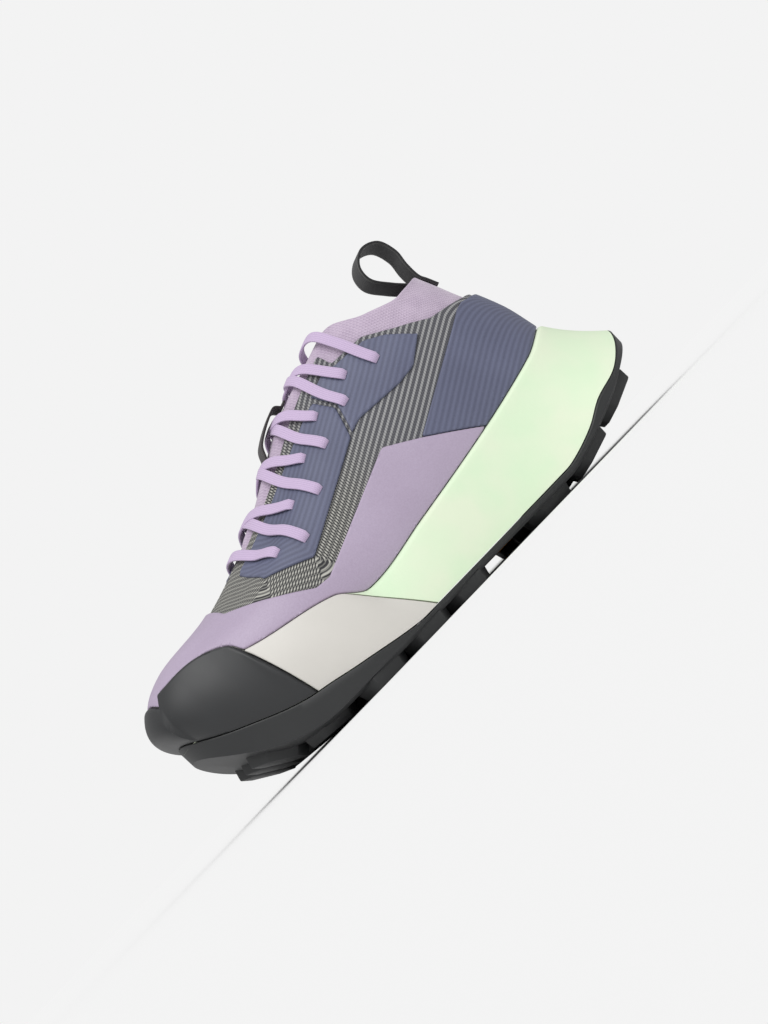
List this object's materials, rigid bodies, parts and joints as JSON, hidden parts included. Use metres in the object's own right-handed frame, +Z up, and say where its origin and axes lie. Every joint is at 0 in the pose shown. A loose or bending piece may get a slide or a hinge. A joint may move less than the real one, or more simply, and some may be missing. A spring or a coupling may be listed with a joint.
{
  "type": "approach shoe",
  "caption": "Low approach shoe for the left foot: woven upper with knitted collar, deep midsole, rubber toe cap and lugged outsole.",
  "frame": {"origin": "middle of the bounding box, at the floor under the lugs", "axes": "+X to the toe, +Y to the outer side of the left foot, +Z up"},
  "size_m": [0.2768, 0.1062, 0.1445],
  "materials": {
    "black_rubber": "matt moulded rubber",
    "amber_inset": "smooth satin plastic",
    "mint_foam": "matt foam with a fine grain",
    "grey_rubber": "matt smooth rubber",
    "insole_fabric": "flat textile",
    "striped_weave": "woven textile with light stripes",
    "lilac_knit": "fine knit",
    "lilac_film": "matt film over textile",
    "slate_film": "satin film with fine ribs",
    "lilac_lace": "flat woven lace",
    "dark_webbing": "narrow webbing"
  },
  "bodies": {
    "root": {"outsole": "black_rubber", "sole_inset": "amber_inset", "midsole": "mint_foam", "rand_outer": "grey_rubber", "rand_inner": "grey_rubber", "toe_cap": "black_rubber", "insole": "insole_fabric", "upper": "striped_weave", "knit_collar": "lilac_knit", "mudguard": "lilac_film", "heel_counter": "slate_film", "eyestay_lower_outer": "slate_film", "eyestay_lower_inner": "slate_film", "eyestay_upper_outer": "slate_film", "eyestay_upper_inner": "slate_film", "lace_top": "lilac_lace", "lace_crossing_1": "lilac_lace", "lace_crossing_2": "lilac_lace", "lace_crossing_3": "lilac_lace", "lace_crossing_4": "lilac_lace", "lace_bottom": "lilac_lace", "lace_keeper": "dark_webbing", "heel_loop": "dark_webbing"}
  },
  "joints": []
}
